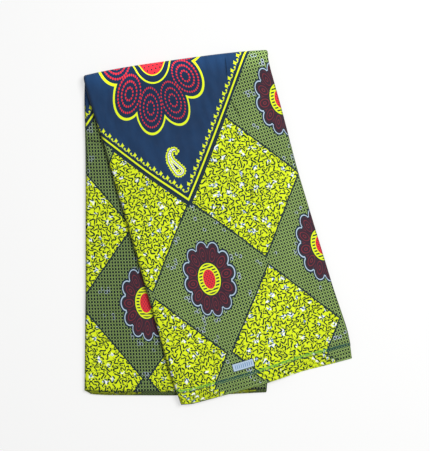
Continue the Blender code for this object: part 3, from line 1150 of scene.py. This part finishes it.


# %% [markdown]
# ## The cotton
#
# Under the print is a plain weave of fine cotton, thirty threads to the centimetre each way. The threads
# could be modelled, but from two metres all that is seen of them is a cloth without gloss, so they are a
# bump. A narrow line of dye runs along the selvedge; on the hidden and inner leaves its pale and dark lines
# are partly a painted highlight and painted shade at the leaves' ends. A painted highlight lies along the
# fold, and painted shade at the sides and the back half's selvedge, where the cloth turns down from the
# light.

# %% Weave and print the cotton
THREAD = 0.34
WEAVE_DEPTH = 0.00003
CREPE_SIZE = 16
CREPE_DEPTH = 0.0006
SHORT_CREASE = 0.040
CREASE_SHARPNESS = 1.3
CREASE_DEPTH = 0.0024
CLOUD_SIZE = 90
CLOUD_SPREAD = 0.16
LEAST_CLOUD = 0.92
# A painted highlight along the fold: where its middle lies, how far it reaches and how strong it is.
FOLD_TOP = 0.008
FOLD_HIGHLIGHT_REACH = 24
FOLD_HIGHLIGHT = 0.75
# Painted shade at the pack's sides: how far it reaches, and the share of the colour left at the edge.
SIDE_SHADE_REACH = 6.4
SIDE_PAINTED_SHADE = 0.3
ROUGHNESS_CLOUD = 12
ROUGHNESS_SPREAD = 0.14
LEAST_ROUGHNESS = 0.67
COTTON = {"Sheen Weight": 0.08, "Sheen Roughness": 0.5, "Specular IOR Level": 0.2}
Line = namedtuple("Line", "middle width over_yellow over_green strength wear")
OUTER_SELVEDGE = (Line(4.3, 3.8, LEAF_GREEN, TEAL, 0.9, 4.0), Line(0.8, 1.6, TEAL, TEAL, 0.9, 2.0))
# On the hidden leaves the first line is partly a painted highlight along their edges, the second partly
# painted shade.
HIDDEN_SELVEDGE_HIGHLIGHT_AND_SHADE = (Line(0.5, 0.8, YELLOW, NET, 0.5, 2.0), Line(1.8, 0.9, STROKE, DOT, 0.4, 3.0))
# On the inner leaf the dark line at its end is partly painted shade.
INNER_SELVEDGE_AND_SHADE = (Line(0.7, 2.0, STROKE, DOT, 0.8, 3.0),)
FRAY_SIZE = 4
WEAR_SIZE = 3
WEAR = (3.4, -0.7)
LABEL_MIDDLE = (141.7, 562.9)
LABEL_HALF = (18.4, 6.4)
LABEL_FRAME = 1.1
LABEL_MARGIN = 2.4
LABEL_PITCH = 3.6
LABEL_STRIPE = 1.5

# How the print lies on a leaf: across it, down it and moved, in millimetres, with the radius of its net's
# dots, which is larger on the inner leaf and makes its net darker, and how far aside its flowers came out
Lay = namedtuple("Lay", "mirror slant shift_across skew shift_down dot flower_aside")


def weave(x, y):
    """Threads over and under each other: rounded ridges along one way or the other, by turns like a chess
    board."""
    over_x, over_y = abs(wave(x * (math.pi / THREAD))), abs(wave(y * (math.pi / THREAD)))
    turn = (whole(x / THREAD) + whole(y / THREAD)) % 2
    return turn * over_x + (1 - turn) * over_y


def sharp_creases(across, down, creases):
    """The sharp middles of the short creases, in millimetres: for each, minus a narrow bell across it times a
    flatter bell along it, at the crease's own place and turn."""
    height = 0
    for crease in creases:
        if crease.length > SHORT_CREASE:
            continue
        along, aside = along_crease(crease, across - crease.across * MM, down - crease.down * MM)
        along, aside = along / (crease.length * MM / 2), aside / CREASE_SHARPNESS
        height = height - Value.math("EXPONENT", -(aside * aside + along * along * along * along))
    return height


def selvedge_lines(colour, x, y, selvedge, on_yellow):
    """The frayed lines along the cloth's edge. Their blue dye is green over yellow, and dark over green. On
    the hidden leaves the pale line is partly a painted highlight of their edges and the dark one partly
    painted shade, and on the inner leaf the dark line is partly painted shade at its end.
    """
    from_selvedge = millimetres("from_selvedge")
    frayed = noise(x, y, FRAY_SIZE) - 0.5
    worn = Value.math("MULTIPLY_ADD", noise(x, y, WEAR_SIZE), *WEAR, clamp=True)
    for line in selvedge:
        line_colour = paint(line.over_green, line.over_yellow, on_yellow)
        drawn = line_at(from_selvedge + frayed * line.wear, line.middle, line.width, 1.0)
        colour = paint(colour, line_colour, drawn * worn * line.strength)
    return colour


def label(colour, x, y):
    """A pale patch with plain upright stripes and a thin dark frame, beside the selvedge."""
    inside = smaller(LABEL_HALF[0] - abs(x - LABEL_MIDDLE[0]), LABEL_HALF[1] - abs(y - LABEL_MIDDLE[1]))
    stripes = line_at(x % LABEL_PITCH, LABEL_PITCH / 2, LABEL_STRIPE) * above(inside, LABEL_MARGIN)
    striped = paint(PALE_BLUE, LABEL_BLUE, stripes)
    return coats(colour, inside, (Coat(OUTLINE, -LABEL_FRAME), Coat(striped, 0)))


def tone_and_painted_light(spot, x, y):
    """The dyes' cloudy tone, times a painted highlight along the fold and painted shade towards the sides."""
    clouds = Value.math("MULTIPLY_ADD", noise(x, y, CLOUD_SIZE), CLOUD_SPREAD, LEAST_CLOUD)
    # A painted highlight along the fold.
    from_fold = (spot[1] - spot[0] * math.tan(TILT) + FOLD_TOP) * (MM / FOLD_HIGHLIGHT_REACH)
    painted_highlight = 1 + Value.math("EXPONENT", -(from_fold * from_fold)) * FOLD_HIGHLIGHT
    # Painted shade towards the sides, and on the back half towards the selvedge.
    slope = (1 - SIDE_PAINTED_SHADE) / SIDE_SHADE_REACH
    painted_shade = Value.math("MULTIPLY_ADD", millimetres("painted_shade_distance"), slope, SIDE_PAINTED_SHADE, clamp=True)
    return clouds * painted_highlight * painted_shade


def bump(height, depth, under=None):
    """The way the surface faces where a height of this depth stands on what is under it."""
    inputs = {"Distance": depth, "Height": height}
    if under is not None:
        inputs["Normal"] = under
    return Value(Value.node("ShaderNodeBump", {}, inputs).outputs[0])


def printed_cotton(name, lay, selvedge, creases, labelled=False):
    """The material of one piece: the print, as it lies on this leaf, its selvedge, roughness and weave."""
    material, shader = new_material(name, COTTON)
    Value.tree = material.node_tree
    spot = parts_of(Value(Value.node("ShaderNodeUVMap", {"uv_map": "cloth"}, {}).outputs[0]))
    x = spot[0] * (lay.mirror * MM) + spot[1] * (lay.slant * MM) + lay.shift_across
    y = spot[1] * MM + spot[0] * (lay.skew * MM) + lay.shift_down
    beside, beneath, to_edge, yellow = diamond(x, y)
    in_yellow = above(to_edge, YELLOW_INSET) * yellow
    colour = flower(green_net(x, y, lay.dot), beside + lay.flower_aside, beneath)
    colour = paint(colour, OUTLINE, above(to_edge, YELLOW_INSET - OUTLINE_WIDTH) * yellow)
    colour = paint(colour, yellow_ground(x, y), in_yellow)
    colour = indigo_diamond(colour, x, y, below(to_edge, YELLOW_INSET) * yellow)
    if labelled:
        colour = label(colour, spot[0] * MM, spot[1] * MM)
    colour = selvedge_lines(colour, x, y, selvedge, in_yellow)
    shaded = Value.node("ShaderNodeVectorMath", {"operation": "SCALE"}, {0: colour, 3: tone_and_painted_light(spot, x, y)})
    roughness = Value.math("MULTIPLY_ADD", noise(x, y, ROUGHNESS_CLOUD), ROUGHNESS_SPREAD, LEAST_ROUGHNESS)
    facing = bump(noise(x, y, CREPE_SIZE, 3.0), CREPE_DEPTH, bump(weave(x, y), WEAVE_DEPTH))
    if creases:
        facing = bump(sharp_creases(spot[0] * MM, abs(spot[1]) * MM, creases), CREASE_DEPTH, facing)
    looks = {"Base Color": Value(shaded.outputs[0]), "Roughness": roughness, "Normal": facing}
    for socket, value in looks.items():
        Value.tree.links.new(value.socket, shader.inputs[socket])
    print(name, len(Value.tree.nodes), "nodes")
    return material


# %% Lay the print on each piece
OUTER_LAY = Lay(1, 0, -124.9, 0, 7.1, 1.75, 0)
INNER_LAY = Lay(-0.973, -0.071, -134.4, -0.017, -5.0, 2.0, 10)
prints = (
    (outer_leaf, "outer_leaf_print", OUTER_LAY, OUTER_SELVEDGE, FRONT_CREASES, True),
    (hidden_leaves, "hidden_leaves_print", OUTER_LAY, HIDDEN_SELVEDGE_HIGHLIGHT_AND_SHADE, ()),
    (inner_leaf, "inner_leaf_print", INNER_LAY, INNER_SELVEDGE_AND_SHADE, BACK_CREASES),
)
for piece, *says in prints:
    piece.data.materials.append(printed_cotton(*says))

# %% [markdown]
# ## What each piece stands for
#
# Each piece stands for one solid and moves with the only body. Its cut of cloth is 0.331 m of the
# cloth's length by its whole width of 1.17 m, folded.

# %% Tie the pieces to the solids
for piece, node in ((outer_leaf, "outer_leaf"), (inner_leaf, "inner_leaf"), (hidden_leaves, "hidden_leaves")):
    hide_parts(node)
    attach(piece, "root")
    node + "_cotton"

# %% [markdown]
# ## The table and the light
#
# The cloth lies on a white table in a soft studio light, with a faint shadow. A plain white table could lie
# here, but the shadow on it would be too dark, so this one is grey and glows a little. One large soft light
# hangs to the upper right, and the pale surroundings fill in the rest.

# %% Lay the table
TABLE_REACH = 4.0
TABLE_DROP = 0.0003
TABLE = {
    "Base Color": (0.32, 0.32, 0.319, 1), "Emission Color": (1, 1, 0.996, 1), "Emission Strength": 0.575,
    "Roughness": 0.9, "Specular IOR Level": 0.1,
}
floor_mesh = bpy.data.meshes.new("table")
corners = [(x * TABLE_REACH, y * TABLE_REACH, -TABLE_DROP) for x, y in ((-1, -1), (1, -1), (1, 1), (-1, 1))]
floor_mesh.from_pydata(corners, [], [(0, 1, 2, 3)])
floor = set_down("table", floor_mesh)
floor.data.materials.append(new_material("white_table", TABLE)[0])

# %% Light it
SKY_STRENGTH = 0.45
SOFTBOX_SIZE = 1.3
SOFTBOX_POWER = 54.5
SOFTBOX_PLACE = (0.95, 0.60, 2.05)
world = bpy.data.worlds.new("studio")
bpy.context.scene.world = world
world.use_nodes = True
world.node_tree.nodes["Background"].inputs["Color"].default_value = (1, 1, 1, 1)
world.node_tree.nodes["Background"].inputs["Strength"].default_value = SKY_STRENGTH
softbox = set_down("softbox", bpy.data.lights.new("softbox", "AREA"))
softbox.data.shape = "DISK"
softbox.data.size = SOFTBOX_SIZE
softbox.data.energy = SOFTBOX_POWER
softbox.location = SOFTBOX_PLACE
softbox.rotation_euler = (-Vector(SOFTBOX_PLACE)).to_track_quat("-Z", "Y").to_euler()
bpy.context.scene.view_settings.view_transform = "Standard"
